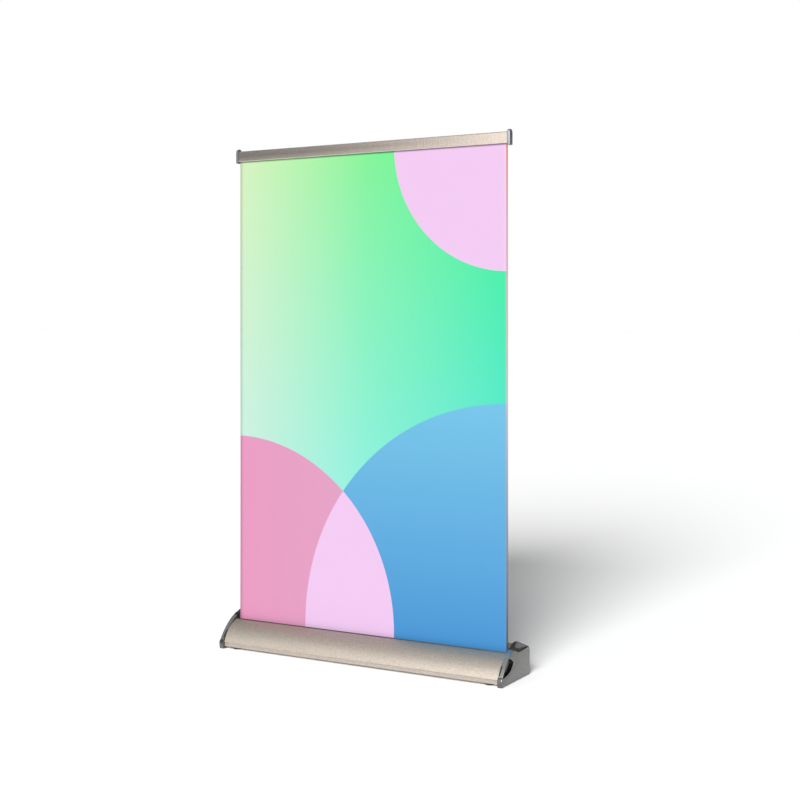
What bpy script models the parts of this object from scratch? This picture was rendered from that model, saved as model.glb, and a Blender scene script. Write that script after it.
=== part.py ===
"""A tabletop roll-up banner stand: cassette, sprung roller, telescopic pole, top rail and film.

Frame: origin on the floor under the middle of the stand, +X along the cassette to the viewer's
right, +Y to the back, +Z up. Sizes are given in millimetres, and MM turns them into metres.
"""

import bmesh
import bpy
from math import cos, pi, radians, sin
from mathutils import Matrix, Vector

MM = 0.001
GAP = 0.3  # between pieces that touch on the real stand
RUNNING = 0.1  # radial play of a shaft in its bore
TURN_STEPS = 32

# The film and the cassette
FILM_WIDTH = 297.0
FILM_THICK = 0.3
FILM_Y = -3.45
FILM_BOTTOM = 4.0
FILM_TOP = 491.5
CASSETTE_HALF = 150.0
WALL = 1.4
FLOOR_BOTTOM = 2.3
FLOOR_TOP = FLOOR_BOTTOM + WALL
PANEL_CENTRE = (2.24, -3.99)
PANEL_RADIUS = 32.1
SLOT_BACK = -0.9
REAR = 28.2

# The end caps
CAP_HALF = 155.0
CAP_INNER = CASSETTE_HALF + GAP
CAP_CENTRE = (21.4, -21.5)
CAP_RADIUS = 58.2
SCOOP_DEPTH = 2.4
PEG_LENGTH = 8.3
CAP_SCREW_X = 146.0
CAP_SCREW_Y = {"front": -23.0, "rear": 22.7}
FOOT_X = 139.0
FOOT_Y = 21.0
FOOT_TOP = FLOOR_BOTTOM - GAP
SCREW_HEAD = 0.9
SCREW_FACE = FLOOR_BOTTOM - GAP - SCREW_HEAD

# The roller
TUBE_RADIUS = 6.0
TUBE_BORE = 5.2
ROLL_RADIUS = 7.4
ROLLER_Y = FILM_Y - FILM_THICK / 2 - GAP - ROLL_RADIUS
ROLLER_Z = 12.6
SHAFT_RADIUS = 2.0
PIN_RADIUS = 2.2
SHAFT_START = 40.0
SHAFT_END = 151.8
HUB_START = 142.5
SPRING_START = 50.0
SPRING_END = 121.0
SPRING_TURNS = 13
SPRING_RADIUS = 3.6
WIRE_RADIUS = 0.45

# The pole
POLE_Y = 12.0
SOCKET_HALF = 12.0
SOCKET_FRONT = 5.5
SOCKET_BACK = 19.0
SOCKET_TOP = 20.5
SOCKET_FLOOR = 9.5
SOCKET_SCREW_X = 8.7
LOWER = {"outer": 5.0, "inner": 4.3, "bottom": 11.1, "top": 178.0}
MIDDLE = {"outer": 4.0, "inner": 3.3, "bottom": 154.7, "top": 334.0}
INNER = {"outer": 3.0, "inner": 2.5, "bottom": 314.0, "top": 484.3}
COLLAR_DEPTH = 13.0
COLLAR_LIP = 2.0
COLLAR_WALL = 1.5
TIP_RADIUS = 2.5
TIP_BOTTOM = 476.0
TIP_FLANGE = 3.5
TIP_FLANGE_TOP = 486.0
TIP_TOP = 493.4

# The top rail
RAIL_HALF = 148.8
RAIL_FRONT = -6.2
RAIL_BACK = -0.7
RAIL_BOTTOM = 485.5
RAIL_TOP = 496.0
RAIL_WALL = 1.2
RAIL_LIP_GAP = 0.65
RAIL_CAP_BOTTOM = 484.0
RAIL_CAP_END = 152.0
STRIP_BOTTOM = 487.0
STRIP_TOP = FILM_TOP
BRACKET_HALF = 13.0
BRACKET_BACK = 1.4
BRACKET_BOTTOM = 486.6
BRACKET_TOP = 495.4
HOOK_RADIUS = 5.2
HOOK_BOTTOM = 486.3
HOOK_TOP = 495.6
BRACKET_SCREW_X = 9.5
BRACKET_SCREW_Z = 491.0


def clear_scene():
    for old in list(bpy.data.objects):
        bpy.data.objects.remove(old, do_unlink=True)


def finish(name, colour, roughness, metallic):
    """A Principled material."""
    made = bpy.data.materials.new(name)
    made.use_nodes = True
    shader = made.node_tree.nodes["Principled BSDF"]
    shader.inputs["Base Color"].default_value = (*colour, 1.0)
    shader.inputs["Roughness"].default_value = roughness
    shader.inputs["Metallic"].default_value = metallic
    return made


def axis_empty(name, place, parent=None):
    """An empty on a moving body's joint axis, which carries the body's pieces."""
    made = bpy.data.objects.new(name, None)
    made.empty_display_size = 10 * MM
    bpy.context.scene.collection.objects.link(made)
    made.location = Vector(place) * MM
    if parent:
        made.parent = parent
        made.location -= parent_place(parent)
    return made


def parent_place(parent):
    """Where an empty stands in the world, as the sum of the places up its chain."""
    place = Vector((0.0, 0.0, 0.0))
    while parent:
        place += parent.location
        parent = parent.parent
    return place


def piece(name, mesh_maker, material, parent=None):
    """An object from a bmesh in world millimetres, with its origin at its parent empty's place."""
    bmesh.ops.remove_doubles(mesh_maker, verts=mesh_maker.verts, dist=1e-4)
    bmesh.ops.recalc_face_normals(mesh_maker, faces=mesh_maker.faces)
    bmesh.ops.scale(mesh_maker, vec=(MM, MM, MM), verts=mesh_maker.verts)
    if parent:
        bmesh.ops.translate(mesh_maker, vec=-parent_place(parent), verts=mesh_maker.verts)
    mesh = bpy.data.meshes.new(name)
    mesh_maker.to_mesh(mesh)
    mesh_maker.free()
    mesh.shade_smooth()
    mesh.set_sharp_from_angle(angle=radians(30))
    made = bpy.data.objects.new(name, mesh)
    bpy.context.scene.collection.objects.link(made)
    made.parent = parent
    if material:
        mesh.materials.append(material)
    return made


def arc(centre, radius, start, end, steps):
    """Points in the YZ plane along an arc; the angles are in degrees from +Y towards +Z."""
    angles = [radians(start + (end - start) * n / steps) for n in range(steps + 1)]
    return [(centre[0] + radius * cos(a), centre[1] + radius * sin(a)) for a in angles]


def prism(outline, low, high):
    """A closed outline in the YZ plane, extruded along X from low to high."""
    made = bmesh.new()
    face = made.faces.new([made.verts.new((low, y, z)) for y, z in outline])
    grown = bmesh.ops.extrude_face_region(made, geom=[face])["geom"]
    moved = [v for v in grown if isinstance(v, bmesh.types.BMVert)]
    bmesh.ops.translate(made, vec=(high - low, 0, 0), verts=moved)
    return made


def block(low, high):
    """A box between two corners."""
    made = bmesh.new()
    bmesh.ops.create_cube(made, size=1)
    size = [h - l for l, h in zip(low, high)]
    middle = [(l + h) / 2 for l, h in zip(low, high)]
    bmesh.ops.scale(made, vec=size, verts=made.verts)
    bmesh.ops.translate(made, vec=middle, verts=made.verts)
    return made


TURN_ALONG = {
    "X": Matrix.Rotation(pi / 2, 3, "Y"),
    "Y": Matrix.Rotation(-pi / 2, 3, "X"),
    "Z": Matrix.Identity(3),
}


def turned(profile, along, centre, steps=TURN_STEPS):
    """A profile of (radius, height) spun about an axis through centre.

    A profile that starts and ends at radius 0 makes a solid piece, and any other is closed on
    itself and makes a ring.
    """
    made = bmesh.new()
    corners = [made.verts.new((r, 0, h)) for r, h in profile]
    edges = [made.edges.new(pair) for pair in zip(corners, corners[1:])]
    if profile[0][0] > 0 or profile[-1][0] > 0:
        edges.append(made.edges.new((corners[-1], corners[0])))
    bmesh.ops.spin(
        made,
        geom=corners + edges,
        cent=(0, 0, 0),
        axis=(0, 0, 1),
        angle=2 * pi,
        steps=steps,
        use_merge=True,
    )
    bmesh.ops.remove_doubles(made, verts=made.verts, dist=1e-4)
    bmesh.ops.rotate(made, matrix=TURN_ALONG[along], verts=made.verts)
    bmesh.ops.translate(made, vec=centre, verts=made.verts)
    return made


def rod(radius, low, high):
    """The profile of a plain round bar."""
    return [(0, low), (radius, low), (radius, high), (0, high)]


def tube(outer, inner, low, high):
    """The profile of a plain ring or tube."""
    return [(inner, low), (outer, low), (outer, high), (inner, high)]


def combine(target, operation, name, mesh_maker):
    """Joins or cuts a helper shape into a piece with a Boolean that stays on it."""
    helper = piece(name, mesh_maker, None)
    helper.hide_render = True
    helper.display_type = "WIRE"
    change = target.modifiers.new(name, "BOOLEAN")
    change.operation = operation
    change.solver = "EXACT"
    change.object = helper


def side_name(side):
    return "left" if side < 0 else "right"


def cassette_outline():
    """The extrusion's open C: the front panel, the floor, the rear wall and the roof."""
    front_edge = 110.0
    front_foot = 160.0
    outer = arc(PANEL_CENTRE, PANEL_RADIUS, front_edge, front_foot, 12)
    lip = [(-28.1, 6.2), (-27.7, 5.8), (-27.7, FLOOR_BOTTOM)]
    rear = [(REAR, FLOOR_BOTTOM), (REAR, 20.8), (25.4, 23.4), (17.0, 27.0)]
    roof = [(8.3, 31.8), (5.0, 31.6), (SLOT_BACK, 30.3), (SLOT_BACK, 26.0)]
    roof_inside = [(SLOT_BACK + WALL, 26.0), (SLOT_BACK + WALL, 29.1), (5.2, 30.2), (8.0, 30.3)]
    rear_inside = [(16.3, 25.6), (24.6, 22.2), (REAR - WALL, 20.2), (REAR - WALL, FLOOR_TOP)]
    foot_inside = [(-27.7 + WALL, FLOOR_TOP), (-27.7 + WALL, 6.4)]
    inner = arc(PANEL_CENTRE, PANEL_RADIUS - WALL, front_foot, front_edge, 12)
    return outer + lip + rear + roof + roof_inside + rear_inside + foot_inside + inner


def cap_outline():
    """The end cap's rim, which stands about 2 mm proud of the extrusion all round."""
    foot = [(-27.0, GAP), (-29.2, GAP), (-30.2, 5.4), (-29.7, 7.4)]
    front = arc(CAP_CENTRE, CAP_RADIUS, 148.5, 108.5, 14)
    peak = [(6.0, 33.8), (8.0, 34.0), (9.4, 33.6), (27.4, 26.4), (29.2, 24.8)]
    rear = [(30.2, 22.6), (30.2, 2.5), (27.9, GAP)]
    return foot + front + peak + rear


def leaf_outline():
    """The scoop in a cap's side face."""
    upper = arc(CAP_CENTRE, CAP_RADIUS - 0.6, 149.0, 128.6, 8)
    lower = [(-9.6, 21.6), (-5.8, 18.6), (-7.8, 15.2), (-11.8, 11.6), (-17.5, 9.6), (-24.0, 8.3)]
    return upper + lower


def make_cassette(aluminium):
    extrusion = piece(
        "cassette_extrusion", prism(cassette_outline(), -CASSETTE_HALF, CASSETTE_HALF), aluminium
    )
    hole = turned(rod(LOWER["outer"] + 0.7, 24.0, 36.0), "Z", (0, POLE_Y, 0))
    combine(extrusion, "DIFFERENCE", "pole_hole_cutter", hole)
    spots = [(side * CAP_SCREW_X, y) for side in (-1, 1) for y in CAP_SCREW_Y.values()]
    spots += [(side * SOCKET_SCREW_X, POLE_Y) for side in (-1, 1)]
    for number, (x, y) in enumerate(spots):
        hole = turned(rod(1.5, 0.0, FLOOR_TOP + 0.2), "Z", (x, y, 0), 16)
        combine(extrusion, "DIFFERENCE", f"floor_hole_cutter_{number}", hole)


def make_end_cap(side, chrome):
    """A cap with two pegs that enter the extrusion, and the roller's pin or the shaft's seat."""
    name = side_name(side)
    ends = sorted((side * CAP_INNER, side * CAP_HALF))
    cap = piece(f"end_cap_{name}", prism(cap_outline(), *ends), chrome)
    scoop = sorted((side * (CAP_HALF - SCOOP_DEPTH), side * (CAP_HALF + 1)))
    combine(cap, "DIFFERENCE", f"scoop_cutter_{name}", prism(leaf_outline(), *scoop))
    inside = CAP_INNER - PEG_LENGTH
    peg_ends = sorted((side * inside, side * (CAP_INNER + 1)))
    pegs = {"front": (-25.4, -20.4, 8.5), "rear": (19.0, 26.4, 12.0)}
    for place, (front, back, top) in pegs.items():
        low = (peg_ends[0], front, FLOOR_TOP + GAP)
        combine(cap, "UNION", f"peg_{place}_{name}", block(low, (peg_ends[1], back, top)))
    for place, y in CAP_SCREW_Y.items():
        hole = turned(rod(1.5, 0.0, 8.0), "Z", (side * CAP_SCREW_X, y, 0), 16)
        combine(cap, "DIFFERENCE", f"peg_hole_{place}_{name}", hole)
    axis = (0, ROLLER_Y, ROLLER_Z)
    if side < 0:
        pin = turned(rod(PIN_RADIUS, -CAP_INNER - 1, -140.0), "X", axis)
        combine(cap, "UNION", "roller_pin", pin)
    else:
        hub = turned(rod(4.6, HUB_START, CAP_INNER + 1), "X", axis)
        combine(cap, "UNION", "shaft_hub", hub)
        seat = turned(rod(SHAFT_RADIUS + GAP, HUB_START - 1, SHAFT_END + GAP), "X", axis)
        combine(cap, "DIFFERENCE", "shaft_seat_cutter", seat)


def screw_profile(head_radius, head_height, shank_radius, length):
    """A pan-head screw with its head's outer face at 0 and its shank rising."""
    return [
        (0, 0),
        (head_radius - 0.4, 0),
        (head_radius, 0.3),
        (head_radius, head_height),
        (shank_radius, head_height),
        (shank_radius, length - 0.6),
        (shank_radius - 0.6, length),
        (0, length),
    ]


def make_base_fasteners(steel, rubber):
    for side in (-1, 1):
        for where, y in CAP_SCREW_Y.items():
            name = f"cap_screw_{where}_{side_name(side)}"
            profile = screw_profile(2.3, SCREW_HEAD, 1.2, 6.4)
            place = (side * CAP_SCREW_X, y, SCREW_FACE)
            piece(name, turned(profile, "Z", place, 16), steel)
        for place, y in (("front", -FOOT_Y), ("rear", FOOT_Y)):
            profile = [(0, 0), (4.0, 0), (4.5, 0.4), (4.5, FOOT_TOP), (0, FOOT_TOP)]
            foot = turned(profile, "Z", (side * FOOT_X, y, 0), 24)
            piece(f"foot_{place}_{side_name(side)}", foot, rubber)
        profile = screw_profile(2.3, SCREW_HEAD, 1.2, 9.9)
        screw = turned(profile, "Z", (side * SOCKET_SCREW_X, POLE_Y, SCREW_FACE), 16)
        piece(f"socket_screw_{side_name(side)}", screw, steel)


def make_pole_socket(plastic):
    low = (-SOCKET_HALF, SOCKET_FRONT, FLOOR_TOP + GAP)
    socket = piece("pole_socket", block(low, (SOCKET_HALF, SOCKET_BACK, SOCKET_TOP)), plastic)
    bore = turned(rod(LOWER["outer"] + GAP, SOCKET_FLOOR, SOCKET_TOP + 2), "Z", (0, POLE_Y, 0))
    combine(socket, "DIFFERENCE", "socket_bore_cutter", bore)
    for side in (-1, 1):
        hole = turned(rod(1.5, 0.0, 12.0), "Z", (side * SOCKET_SCREW_X, POLE_Y, 0), 16)
        combine(socket, "DIFFERENCE", f"socket_screw_hole_{side_name(side)}", hole)


def make_spring(steel):
    """The fixed shaft, the anchor on it and the spring that winds up round it."""
    axis = (0, ROLLER_Y, ROLLER_Z)
    piece("spring_shaft", turned(rod(SHAFT_RADIUS, SHAFT_START, SHAFT_END), "X", axis), steel)
    anchor = tube(4.6, SHAFT_RADIUS + GAP, SPRING_END + 0.8, SPRING_END + 7.0)
    piece("spring_anchor", turned(anchor, "X", axis), steel)
    steps = 12
    count = SPRING_TURNS * steps
    start = SPRING_START + WIRE_RADIUS
    length = SPRING_END - SPRING_START - 2 * WIRE_RADIUS
    line = bpy.data.curves.new("torsion_spring", "CURVE")
    line.dimensions = "3D"
    line.bevel_depth = WIRE_RADIUS * MM
    line.bevel_resolution = 1
    line.use_fill_caps = True
    run = line.splines.new("POLY")
    run.points.add(count)
    for n, point in enumerate(run.points):
        angle = 2 * pi * n / steps
        across = ROLLER_Y + SPRING_RADIUS * cos(angle)
        up = ROLLER_Z + SPRING_RADIUS * sin(angle)
        point.co = ((start + length * n / count) * MM, across * MM, up * MM, 1)
    line.materials.append(steel)
    spring = bpy.data.objects.new("torsion_spring", line)
    bpy.context.scene.collection.objects.link(spring)


def make_roller(parent, aluminium, plastic, leader, film):
    axis = (0, ROLLER_Y, ROLLER_Z)
    half = FILM_WIDTH / 2
    skin = tube(TUBE_RADIUS, TUBE_BORE, -half - 0.7, half + 0.7)
    piece("roller_tube", turned(skin, "X", axis), aluminium, parent)
    plug_radius = TUBE_BORE - GAP
    idler = tube(plug_radius, PIN_RADIUS + RUNNING, -half, -half + 12)
    piece("idler_plug", turned(idler, "X", axis), plastic, parent)
    bush = tube(plug_radius, SHAFT_RADIUS + RUNNING, HUB_START - 9, HUB_START - 1)
    piece("roller_bush", turned(bush, "X", axis), plastic, parent)
    drive = tube(plug_radius, SHAFT_RADIUS + RUNNING, SPRING_START - 11, SPRING_START - 0.8)
    piece("spring_drive_plug", turned(drive, "X", axis), plastic, parent)
    strip = arc(axis[1:], TUBE_RADIUS + 0.2, 150, 270, 10)
    strip += arc(axis[1:], TUBE_RADIUS + 0.5, 270, 150, 10)
    piece("leader_strip", prism(strip, -half + 1, half - 1), leader, parent)
    turns = tube(ROLL_RADIUS, TUBE_RADIUS + 0.8, -half, half)
    piece("wound_film", turned(turns, "X", axis, 40), film, parent)


def make_pole_tube(name, size, material, parent):
    profile = tube(size["outer"], size["inner"], size["bottom"], size["top"])
    piece(name, turned(profile, "Z", (0, POLE_Y, 0)), material, parent)


def make_collar(name, around, through, material, parent):
    """A friction collar on the end of one tube, which grips the tube that slides through it."""
    bore = around["outer"] + GAP
    outer = bore + COLLAR_WALL
    neck = through["outer"] + RUNNING
    top = around["top"]
    profile = [
        (bore, top - COLLAR_DEPTH),
        (outer - 0.5, top - COLLAR_DEPTH),
        (outer, top - COLLAR_DEPTH + 0.5),
        (outer, top + COLLAR_LIP - 0.8),
        (outer - 0.8, top + COLLAR_LIP),
        (neck, top + COLLAR_LIP),
        (neck, top + GAP),
        (bore, top + GAP),
    ]
    piece(name, turned(profile, "Z", (0, POLE_Y, 0)), material, parent)


def make_foot_plug(material, parent):
    spigot = LOWER["inner"] - GAP
    profile = [
        (0, SOCKET_FLOOR + GAP),
        (4.2, SOCKET_FLOOR + GAP),
        (4.8, SOCKET_FLOOR + 0.9),
        (4.8, LOWER["bottom"] - GAP),
        (spigot, LOWER["bottom"] - GAP),
        (spigot, 14.0),
        (0, 14.0),
    ]
    piece("pole_foot_plug", turned(profile, "Z", (0, POLE_Y, 0)), material, parent)


def make_tip(material, parent):
    spigot = INNER["inner"] - GAP
    shoulder = INNER["top"] + GAP
    profile = [
        (0, TIP_BOTTOM),
        (spigot, TIP_BOTTOM),
        (spigot, shoulder),
        (TIP_FLANGE, shoulder),
        (TIP_FLANGE, TIP_FLANGE_TOP),
        (TIP_RADIUS, TIP_FLANGE_TOP),
        (TIP_RADIUS, TIP_TOP - 1.2),
        (TIP_RADIUS - 1.0, TIP_TOP),
        (0, TIP_TOP),
    ]
    piece("pole_tip", turned(profile, "Z", (0, POLE_Y, 0)), material, parent)


def rail_outline():
    """The rail's section: a box open below, with two lips that hold the film's clamp strip."""
    inside_front = RAIL_FRONT + RAIL_WALL
    inside_back = RAIL_BACK - RAIL_WALL
    ledge = RAIL_BOTTOM + RAIL_WALL
    ceiling = RAIL_TOP - RAIL_WALL
    gap_front = FILM_Y - RAIL_LIP_GAP
    gap_back = FILM_Y + RAIL_LIP_GAP
    front = [(gap_front, RAIL_BOTTOM), (RAIL_FRONT + 0.4, RAIL_BOTTOM), (RAIL_FRONT, RAIL_BOTTOM + 0.4)]
    top = arc((RAIL_FRONT + 1.2, RAIL_TOP - 1.2), 1.2, 180, 90, 4)
    top += arc((RAIL_BACK - 1.2, RAIL_TOP - 1.2), 1.2, 90, 0, 4)
    back = [(RAIL_BACK, RAIL_BOTTOM), (gap_back, RAIL_BOTTOM), (gap_back, ledge)]
    cavity = [(inside_back, ledge), (inside_back, ceiling), (inside_front, ceiling)]
    return front + top + back + cavity + [(inside_front, ledge), (gap_front, ledge)]


def rail_cap_outline():
    front = RAIL_FRONT - 0.4
    back = RAIL_BACK + 0.4
    sides = [(back, RAIL_CAP_BOTTOM), (front, RAIL_CAP_BOTTOM), (front, 494.6)]
    peak = [(front + 0.7, 496.9), (front + 2.0, 498.0), (front + 3.2, 498.3)]
    return sides + peak + [(back - 1.6, 497.8), (back - 0.4, 496.6), (back, 495.0)]


def make_rail(parent, aluminium, chrome, clear_plastic, plastic, steel):
    rail = piece("rail_profile", prism(rail_outline(), -RAIL_HALF, RAIL_HALF), aluminium, parent)
    strip_end = RAIL_HALF - 0.8
    strip = block((-strip_end, -3.0, STRIP_BOTTOM), (strip_end, -2.2, STRIP_TOP))
    piece("rail_clamp_strip", strip, clear_plastic, parent)
    plate_front = RAIL_BACK + GAP
    low = (-BRACKET_HALF, plate_front, BRACKET_BOTTOM)
    bracket = piece(
        "rail_bracket", block(low, (BRACKET_HALF, BRACKET_BACK, BRACKET_TOP)), plastic, parent
    )
    arm = block((-4.5, 0.4, HOOK_BOTTOM), (4.5, POLE_Y, HOOK_TOP))
    combine(bracket, "UNION", "bracket_arm", arm)
    boss = turned(rod(HOOK_RADIUS, HOOK_BOTTOM, HOOK_TOP), "Z", (0, POLE_Y, 0))
    combine(bracket, "UNION", "bracket_boss", boss)
    seat = turned(rod(TIP_RADIUS + 0.2, 480.0, 494.0), "Z", (0, POLE_Y, 0))
    combine(bracket, "DIFFERENCE", "bracket_seat_cutter", seat)
    for side in (-1, 1):
        name = side_name(side)
        ends = sorted((side * (RAIL_HALF + GAP), side * RAIL_CAP_END))
        cap = piece(f"rail_end_cap_{name}", prism(rail_cap_outline(), *ends), chrome, parent)
        reach = sorted((side * 143.0, side * 150.0))
        peg = block((reach[0], -4.7, 492.3), (reach[1], -2.2, 494.5))
        combine(cap, "UNION", f"rail_cap_peg_{name}", peg)
        x = side * BRACKET_SCREW_X
        for owner, front, back in ((rail, -2.1, 0.0), (bracket, -1.0, 2.0)):
            hole = turned(rod(1.2, front, back), "Y", (x, 0, BRACKET_SCREW_Z), 16)
            combine(owner, "DIFFERENCE", f"{owner.name}_hole_{name}", hole)
        shank = [(r, 2.7 - h) for r, h in screw_profile(1.9, 1.0, 0.9, 4.1)]
        screw = turned(shank, "Y", (x, 0, BRACKET_SCREW_Z), 16)
        piece(f"bracket_screw_{name}", screw, steel, parent)


def make_film(parent, film):
    half = FILM_WIDTH / 2
    low = (-half, FILM_Y - FILM_THICK / 2, FILM_BOTTOM)
    high = (half, FILM_Y + FILM_THICK / 2, FILM_TOP)
    piece("graphic_sheet", block(low, high), film, parent)


def build_stand():
    clear_scene()
    aluminium = finish("champagne_aluminium", (0.62, 0.57, 0.52), 0.38, 0.9)
    rail_metal = finish("rail_aluminium", (0.66, 0.64, 0.60), 0.35, 0.9)
    tube_metal = finish("pole_aluminium", (0.72, 0.73, 0.74), 0.32, 1.0)
    chrome = finish("chromed_plastic", (0.75, 0.75, 0.76), 0.12, 1.0)
    plastic = finish("black_plastic", (0.03, 0.03, 0.03), 0.5, 0.0)
    clear_plastic = finish("milky_plastic", (0.75, 0.76, 0.75), 0.4, 0.0)
    rubber = finish("foot_rubber", (0.02, 0.02, 0.02), 0.85, 0.0)
    steel = finish("steel", (0.55, 0.56, 0.58), 0.3, 1.0)
    film = finish("printed_film", (0.55, 0.92, 0.78), 0.4, 0.0)
    leader = finish("leader_film", (0.85, 0.85, 0.83), 0.5, 0.0)

    roller = axis_empty("roller_axis", (0, ROLLER_Y, ROLLER_Z))
    lower = axis_empty("pole_lower_axis", (0, POLE_Y, LOWER["bottom"]))
    middle = axis_empty("pole_middle_axis", (0, POLE_Y, MIDDLE["bottom"]), lower)
    inner = axis_empty("pole_inner_axis", (0, POLE_Y, INNER["bottom"]), middle)
    rail = axis_empty("rail_axis", (0, POLE_Y, RAIL_BOTTOM), inner)

    make_cassette(aluminium)
    for side in (-1, 1):
        make_end_cap(side, chrome)
    make_base_fasteners(steel, rubber)
    make_pole_socket(plastic)
    make_spring(steel)
    make_roller(roller, tube_metal, plastic, leader, film)
    make_foot_plug(plastic, lower)
    make_pole_tube("pole_lower_tube", LOWER, tube_metal, lower)
    make_collar("lower_collar", LOWER, MIDDLE, plastic, lower)
    make_pole_tube("pole_middle_tube", MIDDLE, tube_metal, middle)
    make_collar("middle_collar", MIDDLE, INNER, plastic, middle)
    make_pole_tube("pole_inner_tube", INNER, tube_metal, inner)
    make_tip(plastic, inner)
    make_rail(rail, rail_metal, chrome, clear_plastic, plastic, steel)
    make_film(rail, film)


build_stand()
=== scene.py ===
from math import cos, pi, radians, sin

import bmesh
import bpy
from mathutils import Matrix, Vector


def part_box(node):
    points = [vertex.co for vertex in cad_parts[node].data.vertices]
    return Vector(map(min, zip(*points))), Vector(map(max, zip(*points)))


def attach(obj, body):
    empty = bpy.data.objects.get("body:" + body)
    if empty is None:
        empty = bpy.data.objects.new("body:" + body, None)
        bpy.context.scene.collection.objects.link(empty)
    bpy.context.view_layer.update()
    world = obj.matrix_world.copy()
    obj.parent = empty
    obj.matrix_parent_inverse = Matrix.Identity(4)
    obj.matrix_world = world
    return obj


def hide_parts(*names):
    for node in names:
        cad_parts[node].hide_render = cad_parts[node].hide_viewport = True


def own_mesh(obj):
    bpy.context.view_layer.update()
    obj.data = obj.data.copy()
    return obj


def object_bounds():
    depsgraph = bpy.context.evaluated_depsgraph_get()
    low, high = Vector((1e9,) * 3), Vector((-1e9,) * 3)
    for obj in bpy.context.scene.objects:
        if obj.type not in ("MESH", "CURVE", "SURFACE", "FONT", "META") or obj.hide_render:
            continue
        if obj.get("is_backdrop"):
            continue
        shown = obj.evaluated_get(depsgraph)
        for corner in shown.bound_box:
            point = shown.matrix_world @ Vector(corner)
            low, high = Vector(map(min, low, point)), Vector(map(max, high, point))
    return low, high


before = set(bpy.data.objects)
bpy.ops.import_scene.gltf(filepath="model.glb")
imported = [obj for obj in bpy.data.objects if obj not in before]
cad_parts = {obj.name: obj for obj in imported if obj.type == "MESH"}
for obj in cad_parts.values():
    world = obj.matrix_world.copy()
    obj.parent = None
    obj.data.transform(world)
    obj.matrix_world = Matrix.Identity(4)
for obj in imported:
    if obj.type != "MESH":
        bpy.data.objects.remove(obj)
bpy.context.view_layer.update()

# ---------------------------------------------------------------------------------------------
# Camera: looks level, from a little above the film's middle, a metre and a third away and to the
# viewer's right. Its lens is shifted so that the upright sides of the stand stay upright.
camera_data = bpy.data.cameras.new("camera")
camera_data.lens = 62.37
camera_data.sensor_width = 36.0
camera_data.shift_y = -0.0982
camera = bpy.data.objects.new("camera", camera_data)
camera.location = (0.6817, -1.1392, 0.3215)
camera.rotation_euler = (radians(90.14), 0.0, radians(29.60))
bpy.context.scene.collection.objects.link(camera)
bpy.context.scene.camera = camera
bpy.context.scene.view_settings.view_transform = "Standard"

# ---------------------------------------------------------------------------------------------
# Studio: a plain pale floor that runs out to the horizon, a large soft key lamp in front and a
# little to the right, and a room of soft panels that the metal reflects.
FLOOR_REACH = 60.0
floor_shape = bmesh.new()
bmesh.ops.create_grid(floor_shape, x_segments=2, y_segments=2, size=FLOOR_REACH)
floor_mesh = bpy.data.meshes.new("studio_floor")
floor_shape.to_mesh(floor_mesh)
floor_shape.free()
floor = bpy.data.objects.new("studio_floor", floor_mesh)
bpy.context.scene.collection.objects.link(floor)
floor_paint = bpy.data.materials.new("pale_floor")
floor_paint.use_nodes = True
floor_shader = floor_paint.node_tree.nodes["Principled BSDF"]
floor_shader.inputs["Base Color"].default_value = (0.96, 0.96, 0.96, 1.0)
floor_shader.inputs["Roughness"].default_value = 0.9
floor_shader.inputs["Specular IOR Level"].default_value = 0.1
floor_mesh.materials.append(floor_paint)
floor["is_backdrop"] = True

KEY_TOWARDS = (0.195, -0.877, 0.438)
key_data = bpy.data.lights.new("key_lamp", "SUN")
key_data.energy = 5.55
key_data.angle = radians(30)
key = bpy.data.objects.new("key_lamp", key_data)
key.rotation_euler = Vector(KEY_TOWARDS).to_track_quat("Z", "Y").to_euler()
bpy.context.scene.collection.objects.link(key)


def ramp_of(tree, value, stops):
    """A colour ramp over a value. A stop is (position, colour)."""
    ramp = tree.nodes.new("ShaderNodeValToRGB")
    marks = ramp.color_ramp.elements
    while len(marks) < len(stops):
        marks.new(0.5)
    for mark, (position, colour) in zip(marks, stops):
        mark.position = position
        mark.color = (*colour, 1.0)
    tree.links.new(value, ramp.inputs["Fac"])
    return ramp.outputs["Color"]


def scaled(tree, value, low, high, to_low=0.0, to_high=1.0):
    """A value mapped from one range to another and clamped."""
    change = tree.nodes.new("ShaderNodeMapRange")
    change.inputs["From Min"].default_value = low
    change.inputs["From Max"].default_value = high
    change.inputs["To Min"].default_value = to_low
    change.inputs["To Max"].default_value = to_high
    tree.links.new(value, change.inputs["Value"])
    return change.outputs["Result"]


def mixed(tree, share, first, second):
    """Two colours mixed by a share, which may be a number or a socket."""
    mix = tree.nodes.new("ShaderNodeMix")
    mix.data_type = "RGBA"
    for socket, value in ((mix.inputs[0], share), (mix.inputs[6], first), (mix.inputs[7], second)):
        if isinstance(value, bpy.types.NodeSocket):
            tree.links.new(value, socket)
        else:
            socket.default_value = value
    return mix.outputs[2]


room = bpy.data.worlds.new("studio_room")
room.use_nodes = True
bpy.context.scene.world = room
tree = room.node_tree
tree.nodes.clear()
sky = tree.nodes.new("ShaderNodeTexCoord").outputs["Generated"]
split = tree.nodes.new("ShaderNodeSeparateXYZ")
tree.links.new(sky, split.inputs["Vector"])
front_panels = ramp_of(
    tree,
    scaled(tree, split.outputs["X"], -1.0, 1.0),
    [
        (0.0, (0.14, 0.148, 0.152)),
        (0.205, (0.13, 0.138, 0.142)),
        (0.258, (0.060, 0.066, 0.068)),
        (0.306, (2.70, 2.52, 2.38)),
        (0.36, (1.85, 1.78, 1.70)),
        (0.46, (0.35, 0.35, 0.35)),
        (1.0, (0.15, 0.15, 0.15)),
    ],
)
ceiling = (0.585, 0.60, 0.615, 1.0)
back_wall = (0.26, 0.26, 0.26, 1.0)
surround = mixed(tree, scaled(tree, split.outputs["Z"], 0.45, 0.90), front_panels, ceiling)
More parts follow.
